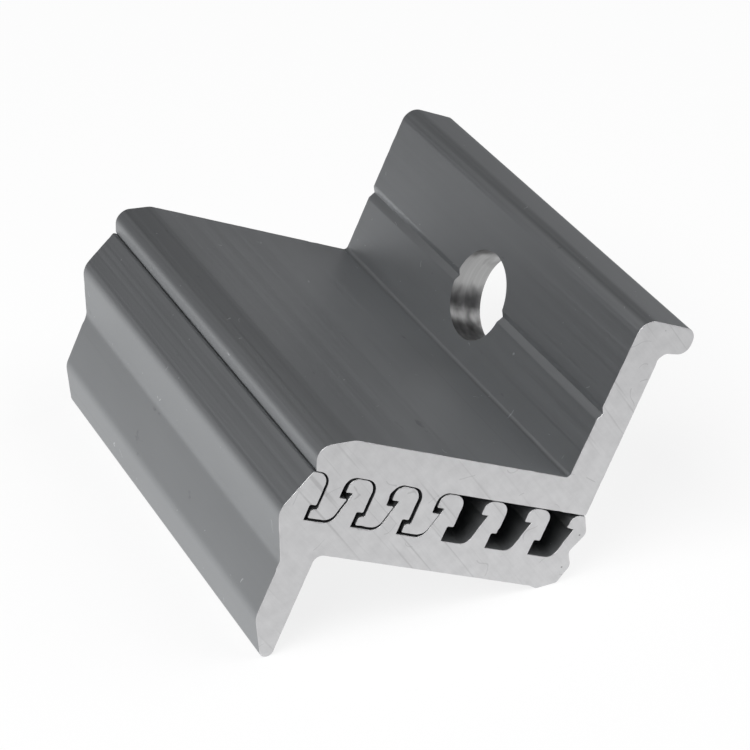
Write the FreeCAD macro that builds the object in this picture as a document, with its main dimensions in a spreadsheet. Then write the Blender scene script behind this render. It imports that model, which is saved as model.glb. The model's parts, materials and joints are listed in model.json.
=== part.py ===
"""End clamp for a solar module: two aluminium extrusions that hook into each other.

The bolt bracket carries the bolted wall, its heel lip and three hooks. The clamping jaw
carries a rack of seven hooks and the leg that presses on the module's frame. Which gaps of the
rack the three hooks stand in sets the clamping height, one pitch at a time.

Every section is drawn in the XZ plane: X runs along the two hooked plates, from the leg to
the bolted wall, and Z runs up the wall. The corner of the rack's first gap, where its floor
meets the first hook, is at X 0, Z 0. Each piece is extruded to both sides of that plane, and
is then turned to lie on the tip of the leg and the bead of the rack, with the centre of the
bolt hole at the origin.
"""
import FreeCAD, Part
import math
import os

import Sketcher

V = FreeCAD.Vector

# The driving dimensions, in millimetres and degrees

SIZES = [
    ("cut_length", 47.8, "sawn length of both extrusions"),
    ("pitch", 5.0, "from one gap of the rack to the next"),
    ("gap_count", 6, "gaps in the jaw's rack"),
    ("hook_count", 3, "hooks under the bracket's plate"),
    ("hook_pitch", 5.07, "between the bracket's hooks, a touch wider than the rack's pitch"),
    ("root_overlap", 0.4, "how far a hook's outline reaches into its plate"),
    ("land_margin", 0.05, "how far a hook's outline runs past its roundings"),
    # the jaw's hooks, measured from the lower corner of the gap
    ("hook_height", 4.76, "from the gap's floor to the flat top of a hook"),
    ("flank_offset", 0.67, "the straight flank stands this far into the gap"),
    ("toe_pocket", 1.57, "height of the pocket below the flank"),
    ("head_round", 1.1, "rounding of the head above the flank"),
    ("gap_mouth", 3.05, "from the gap's corner to the next hook's nose"),
    ("nose_height", 3.25, "underside of the nose above the gap's floor"),
    ("nose_round", 0.9, "rounding above the nose"),
    ("notch_depth", 0.78, "how far the nose overhangs the slanted flank"),
    ("floor_width", 2.86, "gap's floor, measured to the slanted flank"),
    ("floor_round", 1.1, "between the floor and the slanted flank"),
    ("small_round", 0.15, "on the hooks' small corners"),
    ("toe_round", 0.4, "on the toe of the bracket's hooks"),
    # running clearances between the two racks
    ("head_gap", 0.09, "above the heads"),
    ("flank_gap", 0.26, "beside the straight flank"),
    ("toe_gap", 0.35, "in front of the toe"),
    ("toe_top_gap", 0.38, "above the toe"),
    ("floor_gap", 0.26, "below the toe"),
    ("slant_gap", 0.21, "beside the slanted flank"),
    ("nose_gap", 0.44, "in front of the nose"),
    ("shoulder_gap", 0.6, "below the nose"),
    ("arch_ease", 0.15, "the arches are this much larger than the heads"),
    # the bolt bracket
    ("bracket_plate", 3.51, "thickness of the hooked plate"),
    ("plate_tip_foot", 0.8, "underside of the plate's end, left of the first gap"),
    ("plate_tip_nose", 1.79, "nose of the plate's end, left of the first gap"),
    ("plate_tip_drop", 1.23, "the nose lies this far below the plate's face"),
    ("plate_tip_ramp", 3.55, "length of the ramp from the nose up to the face"),
    ("plate_tip_round", 1.4, "rounding of the nose"),
    ("ramp_round", 2.2, "where the ramp meets the face"),
    ("wall_setback", 0.63, "wall's inner face beyond the last gap's corner"),
    ("wall_root", 3.82, "thickness of the bolted wall at the plate"),
    ("wall_tip", 3.58, "thickness of the bolted wall at the lip"),
    ("wall_height", 16.68, "from the plate's face to the top of the wall"),
    ("wall_fillet", 0.4, "between the plate's face and the wall"),
    ("wall_round", 1.57, "inner rounding of the wall's top"),
    ("lip_reach", 6.4, "from the wall's inner face to the heel of the lip"),
    ("lip_root", 2.95, "thickness of the lip at the wall"),
    ("lip_tip", 2.54, "thickness of the lip at its heel"),
    ("lip_round", 1.2, "rounding of the heel"),
    ("lip_fillet", 0.9, "between the wall's outer face and the lip"),
    ("hole_diameter", 9.0, "clearance hole for an M8 bolt"),
    ("hole_height", 6.84, "centre of the hole above the plate's face"),
    ("guide_width", 1.28, "drill guide groove along the wall"),
    ("guide_depth", 0.38, "depth of the groove"),
    # the clamping jaw
    ("jaw_plate", 3.18, "thickness of the jaw's plate below the gaps"),
    ("brow_offset", 1.05, "first hook's outer corner, left of the first gap"),
    ("brow_round", 0.25, "rounding of that corner"),
    ("shoulder_offset", 2.8, "the jaw's widest place, left of the first gap"),
    ("shoulder_height", 0.5, "height of the widest place above the gap's floor"),
    ("shoulder_round", 2.0, "rounding of the widest place"),
    ("waist_offset", 0.45, "leg's outer face, left of the first gap"),
    ("waist_depth", 4.35, "where the waist meets the leg's outer face"),
    ("waist_round", 1.5, "rounding of the waist"),
    ("leg_thickness", 3.28, "between the leg's two faces"),
    ("leg_depth", 14.08, "tip of the leg below the gap's floor"),
    ("bevel_angle", 29.65, "angle between the leg's bevel and its inner face"),
    ("bevel_round", 2.0, "where the bevel meets the leg's outer face"),
    ("tip_round", 0.7, "rounding of the leg's tip"),
    ("leg_fillet", 0.9, "between the leg's inner face and the plate"),
    ("end_overhang", 0.48, "the upper end bead reaches this far past the rack"),
    ("end_bead_high", 3.06, "height of the upper end bead"),
    ("end_bead_low", 0.45, "depth of the lower end bead below the gap's floor"),
    ("end_bead_setback", 0.11, "the lower end bead stands this far behind the upper one"),
    ("end_bead_round", 0.9, "rounding of the end beads"),
    ("end_notch_height", 0.9, "height of the notch between the end beads"),
    ("end_notch_depth", 1.05, "depth of that notch"),
    ("end_notch_round", 0.6, "rounding of that notch"),
    ("end_top_inset", 0.55, "the last hook's top ends this far before the rack"),
    ("foot_bevel_inset", 0.3, "outer end of the foot bevel, before the rack's end"),
    ("foot_bevel_height", 0.76, "outer end of the foot bevel above the underside"),
    ("foot_bead_inset", 2.25, "middle of the foot bead before the rack's end"),
    ("foot_bead_drop", 0.19, "the foot bead hangs this far below the plate"),
    ("foot_bead_run", 0.85, "length of the foot bead's inner slope"),
    ("foot_bead_round", 0.6, "rounding of the foot bead"),
    ("foot_round", 0.35, "at both ends of the foot, before the bead and past its bevel"),
]

doc = FreeCAD.newDocument("end_clamp")
sheet = doc.addObject("Spreadsheet::Sheet", "Dim")
for row, (alias, number, meaning) in enumerate(SIZES, start=1):
    sheet.set(f"A{row}", meaning)
    sheet.set(f"B{row}", str(number))
    sheet.setAlias(f"B{row}", alias)
doc.recompute()


def measure(expression):
    """Return the number that an expression on the sheet's dimensions stands for."""
    return float(sheet.evalExpression(expression))


def origin_plane(body, role):
    """Return one of the body's own origin planes."""
    return next(item for item in body.Origin.OriginFeatures if item.Role == role)


def bind(sketch, name, constraint, expression):
    """Add a named constraint whose value follows the sheet."""
    index = sketch.addConstraint(constraint)
    sketch.renameConstraint(index, name)
    sketch.setExpression(f"Constraints.{name}", expression)


def corner_arc(before, corner, after, radius):
    """Return the tangent arc that rounds a corner, running from the first side to the next."""
    back = (before - corner).normalize()
    ahead = (after - corner).normalize()
    half = back.getAngle(ahead) / 2
    start = corner + back * (radius / math.tan(half))
    end = corner + ahead * (radius / math.tan(half))
    centre = corner + (back + ahead).normalize() * (radius / math.sin(half))
    middle = centre + (corner - centre).normalize() * radius
    return Part.Arc(start, middle, end)


def draw_outline(body, name, corners):
    """Draw a closed outline with rounded corners on the body's XZ plane.

    Each corner is an X, a Z and a radius, all three expressions on the sheet. The corner
    points are fixed by their two distances, the sides run through them, and each arc is
    tangent to its two sides. A corner with no radius stays sharp.
    """
    sketch = body.newObject("Sketcher::SketchObject", name)
    sketch.AttachmentSupport = (origin_plane(body, "XZ_Plane"), [""])
    sketch.MapMode = "FlatFace"
    points = [V(measure(x), measure(z), 0) for x, z, radius in corners]
    count = len(points)
    arcs = []
    for index, (x, z, radius) in enumerate(corners):
        arc = None
        if radius:
            after = points[(index + 1) % count]
            arc = corner_arc(points[index - 1], points[index], after, measure(radius))
        arcs.append(arc)

    sides = []
    for index in range(count):
        following = (index + 1) % count
        start = arcs[index].EndPoint if arcs[index] else points[index]
        end = arcs[following].StartPoint if arcs[following] else points[following]
        sides.append(sketch.addGeometry(Part.LineSegment(start, end), False))

    for index, (x, z, radius) in enumerate(corners):
        arriving, leaving = sides[index - 1], sides[index]
        if arcs[index]:
            mark = sketch.addGeometry(Part.Point(points[index]), True)
            bow = sketch.addGeometry(arcs[index], False)
            runs_forward = sketch.getPoint(bow, 1).isEqual(arcs[index].StartPoint, 1e-6)
            first, last = (1, 2) if runs_forward else (2, 1)
            sketch.addConstraint(Sketcher.Constraint("PointOnObject", mark, 1, arriving))
            sketch.addConstraint(Sketcher.Constraint("PointOnObject", mark, 1, leaving))
            sketch.addConstraint(Sketcher.Constraint("Tangent", arriving, 2, bow, first))
            sketch.addConstraint(Sketcher.Constraint("Tangent", leaving, 1, bow, last))
            bind(sketch, f"round_{index}", Sketcher.Constraint("Radius", bow, measure(radius)), radius)
            corner = (mark, 1)
        else:
            sketch.addConstraint(Sketcher.Constraint("Coincident", arriving, 2, leaving, 1))
            corner = (leaving, 1)
        at_x = Sketcher.Constraint("DistanceX", -1, 1, *corner, points[index].x)
        at_z = Sketcher.Constraint("DistanceY", -1, 1, *corner, points[index].y)
        bind(sketch, f"x_{index}", at_x, x)
        bind(sketch, f"z_{index}", at_z, z)
    doc.recompute()
    return sketch


def extrude(body, name, sketch):
    """Extrude an outline to both sides of its plane, as long as the piece is cut."""
    pad = body.newObject("PartDesign::Pad", name)
    pad.Profile = sketch
    pad.SideType = "Symmetric"
    pad.setExpression("Length", "Dim.cut_length")
    return pad


def repeat(body, name, feature, spacing, occurrences):
    """Repeat a feature along X, one spacing at a time."""
    pattern = body.newObject("PartDesign::LinearPattern", name)
    pattern.Originals = [feature]
    pattern.Direction = (feature.Profile[0], ["H_Axis"])
    pattern.Mode = "Spacing"
    pattern.setExpression("Offset", spacing)
    pattern.setExpression("Occurrences", occurrences)
    body.Tip = pattern
    return pattern


# Places that several outlines share. All are expressions on the sheet

CEILING = "Dim.hook_height + Dim.head_gap"
PLATE_FACE = f"{CEILING} + Dim.bracket_plate"
RACK_END = "Dim.gap_count * Dim.pitch"
UNDERSIDE = "-Dim.jaw_plate"
FLANK_SLOPE = "(Dim.gap_mouth + Dim.notch_depth - Dim.floor_width) / Dim.nose_height"
WALL_FACE = f"({RACK_END} - Dim.pitch + Dim.wall_setback)"
HOLE_LEVEL = f"({PLATE_FACE} + Dim.hole_height)"


def gap_corners():
    """Return the outline of one gap of the jaw's rack, open above the heads."""
    left = "Dim.flank_offset - Dim.head_round - Dim.land_margin"
    right = "Dim.gap_mouth + Dim.nose_round + Dim.land_margin"
    above = "Dim.hook_height + Dim.root_overlap"
    return [
        (left, above, ""),
        (left, "Dim.hook_height", ""),
        ("Dim.flank_offset", "Dim.hook_height", "Dim.head_round"),
        ("Dim.flank_offset", "Dim.toe_pocket", "Dim.small_round"),
        ("0", "Dim.toe_pocket", "Dim.small_round"),
        ("0", "0", ""),
        ("Dim.floor_width", "0", "Dim.floor_round"),
        ("Dim.gap_mouth + Dim.notch_depth", "Dim.nose_height", ""),
        ("Dim.gap_mouth", "Dim.nose_height", "Dim.small_round"),
        ("Dim.gap_mouth", "Dim.hook_height", "Dim.nose_round"),
        (right, "Dim.hook_height", ""),
        (right, above, ""),
    ]


def hook_corners():
    """Return the outline of one of the bracket's hooks, as it stands in the first gap."""
    flank = "Dim.flank_offset + Dim.flank_gap"
    flank_arch = "Dim.head_round + Dim.arch_ease"
    nose_side = "Dim.gap_mouth - Dim.nose_gap"
    nose_arch = "Dim.nose_round + Dim.arch_ease"
    left = f"{flank} - {flank_arch} - Dim.land_margin"
    right = f"{nose_side} + {nose_arch} + Dim.land_margin"
    inside = f"{CEILING} + Dim.root_overlap"
    shoulder = "Dim.nose_height - Dim.shoulder_gap"
    slant_foot = "Dim.floor_width - Dim.slant_gap"
    return [
        (left, inside, ""),
        (left, CEILING, ""),
        (flank, CEILING, flank_arch),
        (flank, "Dim.toe_pocket - Dim.toe_top_gap", "Dim.small_round"),
        ("Dim.toe_gap", "Dim.toe_pocket - Dim.toe_top_gap", "Dim.toe_round"),
        ("Dim.toe_gap", "Dim.floor_gap", "Dim.small_round"),
        (f"{slant_foot} + {FLANK_SLOPE} * Dim.floor_gap", "Dim.floor_gap", "Dim.floor_round"),
        (f"{slant_foot} + {FLANK_SLOPE} * ({shoulder})", shoulder, "Dim.small_round / 2"),
        (nose_side, shoulder, "Dim.small_round"),
        (nose_side, CEILING, nose_arch),
        (right, CEILING, ""),
        (right, inside, ""),
    ]


def bracket_corners():
    """Return the bolt bracket's outline without its hooks: plate, wall and heel lip."""
    wall_top = f"{PLATE_FACE} + Dim.wall_height"
    ramp_end = "Dim.plate_tip_ramp - Dim.plate_tip_nose"
    heel = f"{WALL_FACE} + Dim.lip_reach"
    return [
        ("-Dim.plate_tip_foot", CEILING, "Dim.small_round"),
        ("-Dim.plate_tip_nose", f"{PLATE_FACE} - Dim.plate_tip_drop", "Dim.plate_tip_round"),
        (ramp_end, PLATE_FACE, "Dim.ramp_round"),
        (WALL_FACE, PLATE_FACE, "Dim.wall_fillet"),
        (WALL_FACE, f"{HOLE_LEVEL} - Dim.guide_width / 2", ""),
        (f"{WALL_FACE} + Dim.guide_depth", HOLE_LEVEL, ""),
        (WALL_FACE, f"{HOLE_LEVEL} + Dim.guide_width / 2", ""),
        (WALL_FACE, wall_top, "Dim.wall_round"),
        (heel, wall_top, "Dim.lip_round"),
        (heel, f"{wall_top} - Dim.lip_tip", "Dim.lip_round"),
        (f"{WALL_FACE} + Dim.wall_tip", f"{wall_top} - Dim.lip_root", "Dim.lip_fillet"),
        (f"{WALL_FACE} + Dim.wall_root", CEILING, "Dim.small_round"),
    ]


def jaw_corners():
    """Return the jaw's outline with its rack still solid: plate, end beads and leg."""
    leg_face = "Dim.leg_thickness - Dim.waist_offset"
    leg_point = "Dim.tip_round - Dim.leg_depth - Dim.tip_round / tan(Dim.bevel_angle / 2)"
    bevel_start = f"{leg_point} + Dim.leg_thickness / tan(Dim.bevel_angle)"
    bead = f"{RACK_END} - Dim.foot_bead_inset"
    bevel_end = f"{RACK_END} - Dim.foot_bevel_inset"
    end = f"{RACK_END} + Dim.end_overhang"
    return [
        ("-Dim.brow_offset", "Dim.hook_height", "Dim.brow_round"),
        ("-Dim.shoulder_offset", "Dim.shoulder_height", "Dim.shoulder_round"),
        ("-Dim.waist_offset", "-Dim.waist_depth", "Dim.waist_round"),
        ("-Dim.waist_offset", bevel_start, "Dim.bevel_round"),
        (leg_face, leg_point, "Dim.tip_round"),
        (leg_face, UNDERSIDE, "Dim.leg_fillet"),
        (f"{bead} - Dim.foot_bead_run", UNDERSIDE, "Dim.foot_round"),
        (bead, f"{UNDERSIDE} - Dim.foot_bead_drop", "Dim.foot_bead_round"),
        (bevel_end, f"{UNDERSIDE} + Dim.foot_bevel_height", "Dim.foot_round"),
        (f"{end} - Dim.end_bead_setback", "-Dim.end_bead_low", "Dim.end_bead_round"),
        (f"{end} - Dim.end_notch_depth", "Dim.end_notch_height", "Dim.end_notch_round"),
        (end, "Dim.end_bead_high", "Dim.end_bead_round"),
        (f"{RACK_END} - Dim.end_top_inset", "Dim.hook_height", "Dim.small_round"),
    ]


def make_bracket():
    """Build the bolt bracket: its section, three hooks in a row and the bolt hole."""
    body = doc.addObject("PartDesign::Body", "bolt_bracket")
    extrude(body, "bracket_section", draw_outline(body, "bracket_outline", bracket_corners()))
    hook = extrude(body, "bracket_hook", draw_outline(body, "bracket_hook_outline", hook_corners()))
    repeat(body, "bracket_hooks", hook, "Dim.hook_pitch", "Dim.hook_count")
    doc.recompute()

    centre = body.newObject("Sketcher::SketchObject", "hole_centre")
    centre.AttachmentSupport = (origin_plane(body, "YZ_Plane"), [""])
    centre.MapMode = "FlatFace"
    level = measure(HOLE_LEVEL)
    bore = measure("Dim.hole_diameter")
    rim = centre.addGeometry(Part.Circle(V(0, level, 0), V(0, 0, 1), bore / 2), False)
    centre.addConstraint(Sketcher.Constraint("PointOnObject", rim, 3, -2))
    bind(centre, "level", Sketcher.Constraint("DistanceY", -1, 1, rim, 3, level), HOLE_LEVEL)
    bind(centre, "bore", Sketcher.Constraint("Diameter", rim, bore), "Dim.hole_diameter")
    doc.recompute()

    undrilled = body.Shape.Volume
    hole = body.newObject("PartDesign::Hole", "bolt_hole")
    hole.Profile = centre
    hole.DepthType = "ThroughAll"
    hole.Reversed = True
    hole.setExpression("Diameter", "Dim.hole_diameter")
    doc.recompute()
    print(f"the bolt hole takes {undrilled - body.Shape.Volume:.1f} cubic millimetres")
    return body


def make_jaw():
    """Build the clamping jaw: its section, with the gaps of the rack cut out of it."""
    body = doc.addObject("PartDesign::Body", "clamping_jaw")
    extrude(body, "jaw_section", draw_outline(body, "jaw_outline", jaw_corners()))
    doc.recompute()
    solid = body.Shape.Volume
    gap = body.newObject("PartDesign::Pocket", "rack_gap")
    gap.Profile = draw_outline(body, "rack_gap_outline", gap_corners())
    gap.Type = "ThroughAll"
    gap.SideType = "Symmetric"
    doc.recompute()
    print(f"one gap of the rack takes {solid - body.Shape.Volume:.1f} cubic millimetres")
    repeat(body, "rack", gap, "Dim.pitch", "Dim.gap_count")
    doc.recompute()
    return body


def resting_angle(bodies):
    """Return the slope of the longest span under the section, on which the clamp lies."""
    edges = [edge for body in bodies for edge in body.Shape.Edges]
    points = sorted({(round(p.x, 4), round(p.z, 4)) for edge in edges for p in edge.discretize(40)})
    hull = []
    for point in points:
        while len(hull) > 1:
            (x0, z0), (x1, z1) = hull[-2:]
            if (x1 - x0) * (point[1] - z0) > (z1 - z0) * (point[0] - x0):
                break
            hull.pop()
        hull.append(point)
    spans = [(math.dist(a, b), a, b) for a, b in zip(hull, hull[1:])]
    length, start, end = max(spans)
    return math.degrees(math.atan2(end[1] - start[1], end[0] - start[0]))


def lay_down(bodies):
    """Turn the pieces onto their resting span and bring the hole's centre to the origin."""
    turn = FreeCAD.Rotation(V(0, 1, 0), resting_angle(bodies))
    middle = measure(f"{WALL_FACE} + (Dim.wall_root + Dim.wall_tip) / 4")
    hole_centre = V(middle, 0, measure(HOLE_LEVEL))
    for body in bodies:
        body.Placement = FreeCAD.Placement(-turn.multVec(hole_centre), turn)
    print(f"the clamp lies {turn.Angle * 180 / math.pi:.2f} degrees from its section's own axes")


def check_model(bodies):
    """Stop if any feature failed or a finished piece isn't one valid solid."""
    for item in doc.Objects:
        if "Invalid" in item.State or "Error" in item.State:
            raise RuntimeError(f"{item.Label} could not be built: {item.State}")
    for body in bodies:
        if body.Shape.isNull() or not body.Shape.isValid() or len(body.Shape.Solids) != 1:
            raise RuntimeError(f"{body.Label} is not one valid solid")


def write_pieces(bodies):
    """Write each piece to its own file, named after its label."""
    os.makedirs("parts", exist_ok=True)
    for body in bodies:
        box = body.Shape.BoundBox
        body.Shape.exportStep(f"parts/{body.Label}.step")
        print(f"{body.Label}: {box.XLength:.2f} x {box.YLength:.2f} x {box.ZLength:.2f} mm, "
              f"{body.Shape.Volume:.0f} cubic millimetres")


pieces = [make_bracket(), make_jaw()]
lay_down(pieces)
doc.recompute()
check_model(pieces)
write_pieces(pieces)
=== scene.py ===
# %% [markdown]
# A solar end clamp made of two aluminium extrusions
#
# The clamp holds the last module of a row down on its rail. A bolt bracket stands on the rail,
# and its three hooks stand in the rack of a clamping jaw, higher or lower as the module needs.
# Both are sawn from long extruded bars, so each has one section all along its length.
# This lesson loads the two solids, gives their edges the small breaks that a saw leaves, paints
# the skin, the sawn ends and the drilled hole, and sets a soft studio around them.

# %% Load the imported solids
import bmesh
import bpy
import json
import math
from mathutils import Matrix, Vector, noise


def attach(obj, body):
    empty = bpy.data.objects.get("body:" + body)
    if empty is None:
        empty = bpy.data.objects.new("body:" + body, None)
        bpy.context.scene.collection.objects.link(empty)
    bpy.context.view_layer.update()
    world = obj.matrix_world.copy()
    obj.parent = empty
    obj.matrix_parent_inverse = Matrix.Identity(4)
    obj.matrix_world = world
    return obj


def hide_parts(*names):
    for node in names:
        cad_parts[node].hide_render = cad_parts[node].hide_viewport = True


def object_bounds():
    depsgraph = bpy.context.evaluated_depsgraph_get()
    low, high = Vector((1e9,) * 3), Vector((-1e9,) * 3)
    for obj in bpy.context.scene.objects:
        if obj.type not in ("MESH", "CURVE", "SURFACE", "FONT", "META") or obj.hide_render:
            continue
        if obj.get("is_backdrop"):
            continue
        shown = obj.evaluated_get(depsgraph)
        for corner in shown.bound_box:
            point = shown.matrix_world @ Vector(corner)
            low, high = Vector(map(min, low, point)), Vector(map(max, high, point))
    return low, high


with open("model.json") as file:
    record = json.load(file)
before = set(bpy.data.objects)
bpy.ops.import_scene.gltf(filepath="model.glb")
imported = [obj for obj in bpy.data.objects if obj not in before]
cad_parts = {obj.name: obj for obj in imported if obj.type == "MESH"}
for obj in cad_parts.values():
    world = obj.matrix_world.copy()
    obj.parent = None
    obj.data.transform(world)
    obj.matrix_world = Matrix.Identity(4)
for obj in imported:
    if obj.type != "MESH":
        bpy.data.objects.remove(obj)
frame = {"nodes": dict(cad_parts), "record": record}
cad_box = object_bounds()
MM = 0.001
low, high = cad_box
FRONT = low.y
BACK = high.y
print("the clamp measures", [round(side / MM, 2) for side in high - low], "mm")

# %% [markdown]
# The clamp lies on the tip of its leg and on a bead under its rack, so its section is turned
# about the length of the bars. Every pattern on it, such as a die line or a saw mark, follows
# the section and not the table. The bolt hole's axis runs along the section's plates, so the
# angle can be read from it.

# %% Read the section's slope from the bolt hole
hole = next(mount for mount in frame["record"]["mounts"] if mount["name"] == "bolt_hole")
hole_axis = Vector(hole["axis"])
hole_radius = hole["dims"]["r_mm"] * MM
slope = math.atan2(hole_axis.z, -hole_axis.x)
print(f"the section lies at {math.degrees(slope):.2f} degrees")
print(f"the hole is {2 * hole_radius / MM:.1f} mm wide")


# %% [markdown]
# Colours are picked on a screen as sRGB codes, but a renderer adds up light, so it needs them as
# linear values. One function turns a code into such a colour. A second one adds a node to a
# material with its settings and links in one call. Materials could also be clicked together in
# the shader editor, and in code they can be read, compared and measured.

# %% Two helpers for colours and nodes
def from_hex(code):
    """Turn an sRGB hex colour such as #A5A7A9 into Blender's linear colour."""
    channels = [int(code[place:place + 2], 16) / 255 for place in (1, 3, 5)]
    linear = [c / 12.92 if c <= 0.04045 else ((c + 0.055) / 1.055) ** 2.4 for c in channels]
    return (*linear, 1.0)


def add_node(tree, kind, inputs=None, **settings):
    """Add one node with its settings. An input is a number, a colour or another node's output."""
    node = tree.nodes.new("ShaderNode" + kind)
    for name, value in settings.items():
        setattr(node, name, value)
    for socket, value in (inputs or {}).items():
        if isinstance(value, bpy.types.NodeSocket):
            tree.links.new(value, node.inputs[socket])
        else:
            node.inputs[socket].default_value = value
    return node


print(f"the screen's middle grey #808080 is {from_hex('#808080')[0]:.3f} in linear light")

# %% [markdown]
# Each piece is one closed outline swept along the bar, so it is rebuilt from the outline of its
# sawn face. Walking along the rim of that face gives the corners in order. A bevel modifier on
# the loaded mesh would be shorter, but its long thin triangles bevel badly, and the outline
# gives clean strips that catch the light as a drawn surface does.

# %% Walk round a sawn face
SAME_PLACE = 1e-6


def sawn_outline(node):
    """Return the corners of a node's front sawn face in order, as flat vectors of x and z."""
    shape = bmesh.new()
    shape.from_mesh(node.data)
    bmesh.ops.remove_doubles(shape, verts=shape.verts, dist=SAME_PLACE)
    front = {face for face in shape.faces if all(v.co.y < FRONT + SAME_PLACE for v in face.verts)}
    rim = [edge for edge in shape.edges if len(front.intersection(edge.link_faces)) == 1]
    neighbours = {}
    for edge in rim:
        a, b = edge.verts
        neighbours.setdefault(a, []).append(b)
        neighbours.setdefault(b, []).append(a)
    start = min(neighbours, key=lambda vert: vert.co.x)
    walk = [start]
    following = neighbours[start][0]
    while following is not start:
        walk.append(following)
        following = next(vert for vert in neighbours[following] if vert is not walk[-2])
    corners = [Vector((vert.co.x, vert.co.z)) for vert in walk]
    shape.free()
    area = sum(a.x * b.y - a.y * b.x for a, b in zip(corners, corners[1:] + corners[:1])) / 2
    if area < 0:
        corners.reverse()
    print(f"{node.name}: {len(corners)} corners round {abs(area) / MM ** 2:.0f} square millimetres")
    return corners


outlines = {name: sawn_outline(node) for name, node in frame["nodes"].items()}

# %% [markdown]
# A saw leaves no sharp edge: the rim of the cut is broken by a few hundredths of a millimetre, a
# little more here than there, and deeper where a chip came off. The sweep below has three narrow
# strips at each end for that, whose width follows a noise along the rim. Points are put into the
# long straight runs first, or the rim would be uneven at the corners only. Without the broken
# rim the ends would look printed on, because no light would catch their edges.

# %% Sweep an outline into a bar with broken edges
EDGE_BREAK = 0.055 * MM
RIM_STEPS = 3
RIM_POINT_EVERY = 0.25 * MM
RIM_WANDER = 0.7
WANDER_PER_METRE = 1100
CHIPS_PER_METRE = 880
CHIP_DEPTH = 0.5 * MM
CHIP_LEVEL = 0.38
CHIP_SEED = Vector((0, 0, 7.3))
LONGEST_MITRE = 2.0


def finer(corners):
    """Return the outline with points put in, so that its rim can be uneven on straight runs too."""
    points = []
    for corner, following in zip(corners, corners[1:] + corners[:1]):
        count = max(1, round((following - corner).length / RIM_POINT_EVERY))
        points += [corner.lerp(following, step / count) for step in range(count)]
    return points


def rim_break(corner):
    """Return how wide the saw broke the rim here: a wandering width, deeper where a chip came off."""
    place = Vector((corner.x, corner.y, 0))
    wander = noise.noise(place * WANDER_PER_METRE)
    chip = max(0, noise.noise(place * CHIPS_PER_METRE + CHIP_SEED) - CHIP_LEVEL)
    return EDGE_BREAK * (1 + RIM_WANDER * wander) + CHIP_DEPTH * chip


def inward(corners):
    """Return how each corner moves when the outline shrinks by one unit.

    The move is the mitre of the two sides that meet there, held to a longest length.
    """
    moves = []
    count = len(corners)
    for index, corner in enumerate(corners):
        before = (corner - corners[index - 1]).normalized()
        after = (corners[(index + 1) % count] - corner).normalized()
        left_before = Vector((-before.y, before.x))
        left_after = Vector((-after.y, after.x))
        together = 1 + left_before.dot(left_after)
        moves.append((left_before + left_after) / max(together, 1 / LONGEST_MITRE))
    return moves


def swept_bar(name, corners):
    """Return a mesh object: the outline swept along the bar, its sawn rims slightly broken."""
    shape = bmesh.new()
    corners = finer(corners)
    moves = inward(corners)
    breaks = [rim_break(corner) for corner in corners]
    rings = []
    outward = range(RIM_STEPS + 1)
    for end, direction, steps in ((FRONT, 1, outward), (BACK, -1, reversed(outward))):
        for step in steps:
            angle = math.pi / 2 * step / RIM_STEPS
            ring = []
            for corner, move, width in zip(corners, moves, breaks):
                point = corner + move * width * (1 - math.sin(angle))
                y = end + direction * width * (1 - math.cos(angle))
                ring.append(shape.verts.new((point.x, y, point.y)))
            rings.append(ring)
    count = len(corners)
    for near, far in zip(rings, rings[1:]):
        for index in range(count):
            beside = (index + 1) % count
            shape.faces.new((near[index], far[index], far[beside], near[beside]))
    shape.faces.new(rings[0])
    shape.faces.new(reversed(rings[-1]))
    mesh = bpy.data.meshes.new(name)
    shape.to_mesh(mesh)
    shape.free()
    bar = bpy.data.objects.new(name, mesh)
    bpy.context.scene.collection.objects.link(bar)
    print(f"{name}: {len(mesh.polygons)} faces")
    return bar


bracket = swept_bar("bolt_bracket_bar", outlines["bolt_bracket"])
jaw = swept_bar("clamping_jaw_bar", outlines["clamping_jaw"])

# %% [markdown]
# The bolt hole is drilled through the wall after sawing. It could be left out of the sweep by
# hand, corner by corner. A boolean modifier with a cylinder of the hole's own radius is what a
# drill does, and the result is kept as a plain mesh.

# %% Drill the bolt hole
HOLE_SIDES = 128
DRILL_REACH = 12 * MM


def drill_hole(bar):
    """Cut the bolt hole out of the bar."""
    shape = bmesh.new()
    turn = hole_axis.to_track_quat("Z", "Y").to_matrix().to_4x4()
    bmesh.ops.create_cone(
        shape, cap_ends=True, segments=HOLE_SIDES, radius1=hole_radius, radius2=hole_radius,
        depth=DRILL_REACH, matrix=turn,
    )
    drill_mesh = bpy.data.meshes.new("drill")
    shape.to_mesh(drill_mesh)
    shape.free()
    drill = bpy.data.objects.new("drill", drill_mesh)
    bpy.context.scene.collection.objects.link(drill)
    cut = bar.modifiers.new("bolt_hole", "BOOLEAN")
    cut.operation = "DIFFERENCE"
    cut.solver = "EXACT"
    cut.object = drill
    bpy.context.view_layer.update()
    seen = bar.evaluated_get(bpy.context.evaluated_depsgraph_get())
    drilled = bpy.data.meshes.new_from_object(seen)
    bar.modifiers.clear()
    bar.data = drilled
    bpy.data.objects.remove(drill)
    bpy.data.meshes.remove(drill_mesh)
    print(f"{bar.name}: {len(drilled.polygons)} faces after drilling")


drill_hole(bracket)

# %% [markdown]
# The bars need three finishes: the pressed skin, the sawn ends and, on the bracket, the drilled
# hole. A photograph could be wrapped round the bars, but it would fit this one clamp only. Noises
# measured in millimetres fit any bar of the same metal, so every pattern here starts from one set
# of coordinates that lie along the section.

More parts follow.
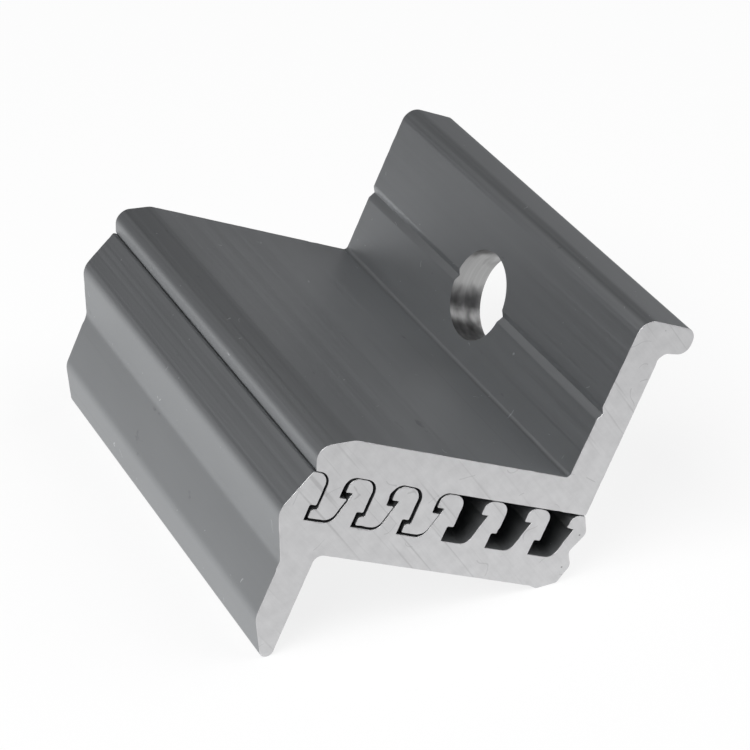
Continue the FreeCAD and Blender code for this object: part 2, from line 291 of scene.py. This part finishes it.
# %% Coordinates in millimetres along the section
def section_place(tree, sizes, turn=0.0, shift=0.0):
    """Return coordinates that count grains of the given sizes in millimetres.

    X runs along the plates, Y along the bar and Z across the plates. A turn swings X and Z
    about the bar, and a shift in millimetres reaches another part of the same noise.
    """
    place = add_node(tree, "TexCoord").outputs["Object"]
    level = add_node(tree, "Mapping", {
        "Vector": place, "Rotation": (0, turn - slope, 0), "Scale": (1 / MM, 1 / MM, 1 / MM),
        "Location": (shift, shift, shift),
    }).outputs["Vector"]
    grains_per_mm = [1 / size for size in sizes]
    return add_node(tree, "Mapping", {"Vector": level, "Scale": grains_per_mm}).outputs["Vector"]


def grain(tree, sizes, detail, turn=0.0, shift=0.0):
    """Return a noise whose grains have the given sizes in millimetres along the section."""
    place = section_place(tree, sizes, turn, shift)
    settings = {"Vector": place, "Scale": 1.0, "Detail": detail, "Roughness": 0.55}
    return add_node(tree, "TexNoise", settings).outputs["Fac"]


# %% [markdown]
# Wear is laid over the metal's own colour one kind after another, as it came onto the real part:
# each kind is a pattern, a colour and how strongly it shows. A pattern's value says where it lies.
# Rising values lay a colour on, and for a spot, whose value is the distance from its middle,
# falling ones do.

# %% Lay one colour over another where a pattern says
def lay_over(tree, colour, pattern, begins, full, code, strength=1.0):
    """Return the colour with another over it, from nothing where the pattern begins to full."""
    share = add_node(tree, "MapRange", {
        "Value": pattern, "From Min": begins, "From Max": full, "To Min": 0.0, "To Max": strength,
    }).outputs["Result"]
    blend = add_node(tree, "Mix", {0: share, 6: colour, 7: from_hex(code)}, data_type="RGBA")
    return blend.outputs[2]


def spot_distance(tree, apart, shift=0.0):
    """Return the distance in millimetres from scattered points that stand about so far apart."""
    place = section_place(tree, (apart, apart, apart), 0.0, shift)
    cells = add_node(tree, "TexVoronoi", {"Vector": place, "Scale": 1.0}).outputs["Distance"]
    return add_node(tree, "Math", {0: cells, 1: apart}, operation="MULTIPLY").outputs[0]


def hairline_distance(tree, curl, share, shift=0.0):
    """Return about the distance in millimetres from short curved hairlines.

    The lines are bits of one contour of a slow noise whose grains measure curl millimetres,
    kept where a second noise is over the share. Elsewhere the distance is large.
    """
    slow = grain(tree, (curl, curl, curl), 1, 0.0, shift)
    offset = add_node(tree, "Math", {0: slow, 1: 0.5}, operation="SUBTRACT").outputs[0]
    apart = add_node(tree, "Math", {0: offset}, operation="ABSOLUTE").outputs[0]
    bits = grain(tree, (curl / 1.5, curl / 1.5, curl / 1.5), 1, 0.0, shift + 40)
    missing = add_node(tree, "Math", {0: bits, 1: share}, operation="LESS_THAN").outputs[0]
    far = add_node(tree, "Math", {0: apart, 1: missing}, operation="ADD").outputs[0]
    return add_node(tree, "Math", {0: far, 1: curl}, operation="MULTIPLY").outputs[0]


# %% [markdown]
# All three finishes are the same aluminium, so they start alike: fully metallic, with the index
# of refraction left at its default. What tells them apart is colour, roughness and relief, and
# roughness and relief follow the pattern that the tool left.

# %% Start a metal
def new_metal(name):
    """Return a new metallic material, its node tree and its shader."""
    material = bpy.data.materials.new(name)
    material.use_nodes = True
    tree = material.node_tree
    shader = tree.nodes["Principled BSDF"]
    shader.inputs["Metallic"].default_value = 1.0
    return material, tree, shader


# Nearly all values of a noise texture lie between these two.
NOISE_LOW = 0.3
NOISE_HIGH = 0.7


def set_texture(tree, shader, colour, pattern, smoothest, roughest, relief=0.0):
    """Give a metal its colour, a roughness that follows a pattern, and a relief in millimetres."""
    tree.links.new(colour, shader.inputs["Base Color"])
    roughness = add_node(tree, "MapRange", {
        "Value": pattern, "From Min": NOISE_LOW, "From Max": NOISE_HIGH, "To Min": smoothest,
        "To Max": roughest,
    }).outputs["Result"]
    tree.links.new(roughness, shader.inputs["Roughness"])
    if relief:
        bump = add_node(tree, "Bump", {"Height": pattern, "Strength": 1.0, "Distance": relief * MM})
        tree.links.new(bump.outputs["Normal"], shader.inputs["Normal"])


# %% [markdown]
# The skin is that of a satin extrusion: aluminium pressed through a die, etched and given a clear
# anodic layer. The die draws fine lines along the bar, the etching makes them matt, and handling
# adds specks, smudges and short hairline scratches. The eye sees a grey mirror that blurs
# everything. Real die lines are about 0.05 mm wide. Here they are drawn 0.3 mm wide, because
# finer ones would vanish between the pixels.

# %% Satin extruded aluminium
# Sizes in millimetres across the section, along the bar and across the section.
DIE_LINE = (0.3, 85, 0.3)
DRAWN_MARK = (0.55, 85, 0.55)
CLOUD = (8, 20, 8)
SMUDGE = (1.4, 2.9, 1.4)
SPECKS_APART = 1.7
SPECK_RADIUS = 0.075
SCRATCH_CURL = 2.5
SCRATCH_WIDTH = 0.03


def satin_extruded_skin():
    """Return the finish of the pressed faces."""
    material, tree, shader = new_metal("satin_extruded_aluminium")
    lines = grain(tree, DIE_LINE, 4)
    clouds = grain(tree, CLOUD, 2)
    tone = add_node(tree, "Math", {0: lines, 1: clouds}, operation="ADD").outputs[0]
    # the anodic layer: a faintly blue grey, slightly paler in lines and clouds
    colour = lay_over(tree, from_hex("#9EA0A2"), tone, 0.7, 1.3, "#A4A6A8")
    # broader dark marks where the die was worn
    worn = grain(tree, DRAWN_MARK, 2, shift=7)
    colour = lay_over(tree, colour, worn, 0.65, 0.75, "#7C7E80", 0.16)
    # smudges from handling
    smudges = grain(tree, SMUDGE, 3, shift=19)
    colour = lay_over(tree, colour, smudges, 0.7, 0.78, "#626466", 0.35)
    # bright specks gather in some places, so their distance grows where a slow noise is low
    thin = add_node(tree, "MapRange", {
        "Value": grain(tree, CLOUD, 1, shift=31), "From Min": 0.45, "From Max": 0.5, "To Min": 1.0,
        "To Max": 0.0,
    }).outputs["Result"]
    near = spot_distance(tree, SPECKS_APART)
    specks = add_node(tree, "Math", {0: near, 1: thin}, operation="ADD").outputs[0]
    colour = lay_over(tree, colour, specks, SPECK_RADIUS, SPECK_RADIUS / 2, "#E4E6E8", 0.7)
    # short scratches down to the bare metal
    scratches = hairline_distance(tree, SCRATCH_CURL, 0.715)
    colour = lay_over(tree, colour, scratches, SCRATCH_WIDTH, 0, "#E4E6E8", 0.7)
    set_texture(tree, shader, colour, lines, 0.48, 0.54, relief=0.0005)
    print(f"{material.name}: {len(tree.nodes)} nodes, die lines {DIE_LINE[0]} mm wide")
    return material


# %% [markdown]
# The ends are bare metal cut by a circular saw. Its teeth leave shallow parallel marks that run
# across the section at about 32 degrees, and now and then a deeper score. Small pits are drawn as
# dark spots of painted shade, and burrs as bright spots of painted glint. The cut is paler than the
# skin because no anodic layer covers it. Real tooth marks stand about 0.1 mm apart, and they are
# drawn 0.4 mm apart so that they stay visible.

# %% Sawn aluminium
SAW_TURN = math.radians(-32)
TOOTH_MARK = (10, 1, 0.4)
SCORE = (16, 1, 0.45)
MOTTLE = (1.4, 1.4, 1.4)
PIT_SHADE_APART = 3.1
PIT_SHADE_RADIUS = 0.12
SWIRL_CURL = 4
SWIRL_WIDTH = 0.035
BURR_GLINTS_APART = 7
BURR_GLINT_RADIUS = 0.2


def sawn_face():
    """Return the finish of the sawn ends."""
    material, tree, shader = new_metal("sawn_aluminium")
    marks = grain(tree, TOOTH_MARK, 4, SAW_TURN)
    mottle = grain(tree, MOTTLE, 3)
    tone = add_node(tree, "Math", {0: marks, 1: mottle}, operation="ADD").outputs[0]
    # bare aluminium, paler where the tooth marks and a soft mottle run high
    colour = lay_over(tree, from_hex("#D1D1D2"), tone, 0.76, 1.24, "#DDDDDE")
    # deeper scores by single teeth
    scores = grain(tree, SCORE, 1, SAW_TURN, 11)
    colour = lay_over(tree, colour, scores, 0.64, 0.74, "#8C8C8C", 0.28)
    # painted shade in small pits, curved marks by loose swarf, and painted glints on burrs
    pit_shade = spot_distance(tree, PIT_SHADE_APART, 5)
    colour = lay_over(tree, colour, pit_shade, PIT_SHADE_RADIUS, PIT_SHADE_RADIUS / 2, "#505050", 0.6)
    swirls = hairline_distance(tree, SWIRL_CURL, 0.6, 23)
    colour = lay_over(tree, colour, swirls, SWIRL_WIDTH, 0, "#909090", 0.35)
    # white spots: painted glints where burrs catch the light
    burr_glints = spot_distance(tree, BURR_GLINTS_APART, 9)
    colour = lay_over(tree, colour, burr_glints, BURR_GLINT_RADIUS, BURR_GLINT_RADIUS / 2, "#FFFFFF")
    set_texture(tree, shader, colour, marks, 0.5, 0.6, relief=0.004)
    print(f"{material.name}: {len(tree.nodes)} nodes, tooth marks {TOOTH_MARK[2]} mm apart")
    return material


# %% [markdown]
# A drill turns in the hole and leaves faint rings, shinier than the skin. Dark patches on the wall
# are a painted reflection, laid into its colour.

# %% Drilled aluminium
RING = (0.33, 12, 12)
PAINTED_REFLECTION_PATCH = (3.3, 5, 5)


def drilled_wall():
    """Return the finish inside the bolt hole, with dark patches of painted reflection."""
    material, tree, shader = new_metal("drilled_aluminium")
    rings = grain(tree, RING, 3)
    colour = lay_over(tree, from_hex("#A0A0A0"), rings, NOISE_LOW, NOISE_HIGH, "#B4B4B4")
    # dark patches of painted reflection on the hole's wall
    painted_reflection = grain(tree, PAINTED_REFLECTION_PATCH, 3, shift=37)
    colour = lay_over(tree, colour, painted_reflection, 0.42, 0.62, "#5C5C5C")
    set_texture(tree, shader, colour, rings, 0.3, 0.4)
    print(f"{material.name}: {len(tree.nodes)} nodes, rings {RING[0]} mm apart")
    return material


SKIN, SAWN, DRILLED = range(3)
finishes = [satin_extruded_skin(), sawn_face(), drilled_wall()]


# %% [markdown]
# A face gets its finish by where it lies: near either end it was sawn, on the cylinder of the
# hole it was drilled, and all others are skin. Smooth shading with sharp creases over 40 degrees
# keeps the pressed corners soft and the sawn rims crisp.

# %% Give every face its finish
SAWN_REACH = 4 * EDGE_BREAK
HOLE_SLACK = 1.002
ALONG_HOLE = 0.1
CREASE = math.radians(40)


def dress(bar, node, body):
    """Put the finishes on a bar, smooth it, and let it stand for its solid."""
    mesh = bar.data
    mesh.materials.clear()
    for finish in finishes:
        mesh.materials.append(finish)
    for face in mesh.polygons:
        from_axis = face.center - hole_axis * face.center.dot(hole_axis)
        near_hole = from_axis.length < hole_radius * HOLE_SLACK
        faces_inward = abs(face.normal.dot(hole_axis)) < ALONG_HOLE
        if abs(face.center.y) > BACK - SAWN_REACH:
            face.material_index = SAWN
        elif node == "bolt_bracket" and near_hole and faces_inward:
            face.material_index = DRILLED
        else:
            face.material_index = SKIN
        face.use_smooth = True
    mesh.set_sharp_from_angle(angle=CREASE)
    flat = bar.modifiers.new("flat_faces_stay_flat", "WEIGHTED_NORMAL")
    flat.keep_sharp = True
    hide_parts(node)
    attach(bar, body)
    drilled = sum(face.material_index == DRILLED for face in mesh.polygons)
    print(f"{bar.name}: {len(mesh.polygons)} faces, {drilled} of them drilled")


dress(bracket, "bolt_bracket", "bolt_bracket")
dress(jaw, "clamping_jaw", "clamping_jaw")

# %% [markdown]
# The studio is plain: a white table, a dim grey room and two large softboxes. Satin metal shows
# what surrounds it, so the surroundings make its tones as much as its own colour does. The table
# shows its own colour to the camera and to the metal, and a share of its lit surface keeps a faint
# shadow. Its colour is a painted pool of light, white round the clamp and fading to grey further
# out, because the skin would mirror a table that is white as far as it reaches, and look too pale.

# %% Table
TABLE_HALF = 1500 * MM
LIGHT_POOL_MIDDLE = Vector((20, 30, 0)) * MM
LIGHT_POOL_REACH = 120 * MM
LIGHT_POOL_FADED = 200 * MM
SHADOW_LEFT = 0.15


def table_with_painted_light_pool():
    """Return the table's finish: a painted pool of light, white round the clamp and grey further out, with
    a light shadow.
    """
    material = bpy.data.materials.new("table_with_painted_light_pool")
    material.use_nodes = True
    tree = material.node_tree
    tree.nodes.clear()
    place = add_node(tree, "TexCoord").outputs["Object"]
    reach = add_node(tree, "VectorMath", {0: place, 1: LIGHT_POOL_MIDDLE}, operation="DISTANCE")
    # the painted pool of light: white round the clamp, fading to grey further out
    colour = lay_over(
        tree, from_hex("#FDFDFD"), reach.outputs["Value"], LIGHT_POOL_REACH, LIGHT_POOL_FADED, "#8F8F90",
    )
    lit = add_node(tree, "BsdfDiffuse", {"Color": colour}).outputs["BSDF"]
    shown = add_node(tree, "Emission", {"Color": colour, "Strength": 1.0}).outputs["Emission"]
    # the camera, the metal and any glass see the plain white, apart from a share for the shadow
    ray = add_node(tree, "LightPath").outputs
    seen = add_node(tree, "Math", {0: ray["Is Camera Ray"], 1: ray["Is Glossy Ray"]}, operation="ADD")
    seen = add_node(tree, "Math", {0: seen.outputs[0], 1: ray["Is Transmission Ray"]}, operation="ADD")
    share = add_node(tree, "Math", {0: seen.outputs[0], 1: 1 - SHADOW_LEFT}, operation="MULTIPLY")
    mix = add_node(tree, "MixShader", {0: share.outputs[0], 1: lit, 2: shown}).outputs["Shader"]
    add_node(tree, "OutputMaterial", {"Surface": mix})
    return material


table_mesh = bpy.data.meshes.new("table")
table_corners = [
    (-TABLE_HALF, -TABLE_HALF, low.z), (TABLE_HALF, -TABLE_HALF, low.z),
    (TABLE_HALF, TABLE_HALF, low.z), (-TABLE_HALF, TABLE_HALF, low.z),
]
table_mesh.from_pydata(table_corners, [], [(0, 1, 2, 3)])
table_mesh.materials.append(table_with_painted_light_pool())
table = bpy.data.objects.new("table", table_mesh)
bpy.context.scene.collection.objects.link(table)
table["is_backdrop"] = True
print(f"the table lies {-low.z / MM:.2f} mm below the bolt hole's centre")

# %% [markdown]
# The room is only a colour for each direction, grey at the walls and dark overhead. Walls and a
# ceiling could be modelled, but satin metal blurs them into much the same. A dim room is what
# makes the skin a middle grey.

# %% Room
PALE_WALLS = 10
DARK_CEILING = 42
world = bpy.data.worlds.new("dim_room")
bpy.context.scene.world = world
world.use_nodes = True
tree = world.node_tree
toward = add_node(tree, "TexCoord").outputs["Generated"]
rise = add_node(tree, "SeparateXYZ", {"Vector": toward}).outputs["Z"]
walls_end = math.sin(math.radians(PALE_WALLS))
ceiling_begins = math.sin(math.radians(DARK_CEILING))
room = lay_over(tree, from_hex("#68686A"), rise, walls_end, ceiling_begins, "#2D2D2E")
tree.links.new(room, tree.nodes["Background"].inputs["Color"])
print(f"the room darkens from {PALE_WALLS} to {DARK_CEILING} degrees above the table")

# %% [markdown]
# Two round softboxes hang above the clamp, the stronger one on the left, and brighten the faces
# that lean towards them. They are wide and far off, because small lamps near the clamp would leave
# hard spots of light on the metal.

# %% Softboxes
LAMP_DISTANCE = 900 * MM
LAMP_WIDTH = 700 * MM
SOFTBOXES = [
    ("left_softbox", Vector((-0.6, -0.25, 0.75)), 8.1),
    ("right_softbox", Vector((0.6, -0.2, 0.77)), 4.1),
]
for name, side, power in SOFTBOXES:
    lamp_data = bpy.data.lights.new(name, "AREA")
    lamp_data.shape = "DISK"
    lamp_data.size = LAMP_WIDTH
    lamp_data.energy = power
    lamp = bpy.data.objects.new(name, lamp_data)
    lamp.location = side.normalized() * LAMP_DISTANCE
    lamp.rotation_euler = side.to_track_quat("Z", "Y").to_euler()
    bpy.context.scene.collection.objects.link(lamp)
    print(f"{name}: {power} watts")

# %% [markdown]
# The camera looks down at the clamp from the front left, so that one sawn end, the rack and the
# bolt hole all show. A long lens keeps the bars' edges nearly parallel. Its place follows from a
# target, three angles and a distance, which are easier to reason about than a row of coordinates.

# %% Camera
AZIMUTH = math.radians(27.147)
ELEVATION = math.radians(30.584)
ROLL = math.radians(2.548)
TARGET = Vector((-13.152, -1.144, -5.145)) * MM
DISTANCE = 270.574 * MM
LENS = 134.543
forward = Vector((
    math.sin(AZIMUTH) * math.cos(ELEVATION), math.cos(AZIMUTH) * math.cos(ELEVATION), -math.sin(ELEVATION),
))
camera_data = bpy.data.cameras.new("camera")
camera_data.lens = LENS
camera_data.sensor_width = 36
camera = bpy.data.objects.new("camera", camera_data)
aim = forward.to_track_quat("-Z", "Y").to_matrix().to_4x4()
camera.matrix_world = Matrix.Translation(TARGET - forward * DISTANCE) @ aim @ Matrix.Rotation(ROLL, 4, "Z")
bpy.context.scene.collection.objects.link(camera)
bpy.context.scene.camera = camera
right = camera.matrix_world.to_3x3() @ Vector((1, 0, 0))
place = camera.matrix_world.translation
print("camera right", [round(c, 4) for c in right], "at", [round(c / MM, 2) for c in place], "mm")

# %% [markdown]
# The plain Standard view shows each colour as it was written. A filmic view would grey the white
# table and flatten the pale sawn faces.

# %% View settings
bpy.context.scene.view_settings.view_transform = "Standard"

# %% [markdown]
# Last, the dressed part is measured against the solids. The rims were broken inwards only, so
# both boxes have to be the same.

# %% Measure the size
dressed_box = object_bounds()
past = max((a - b).length for a, b in zip(cad_box, dressed_box))
print(f"the boxes differ by {past / MM:.4f} mm")
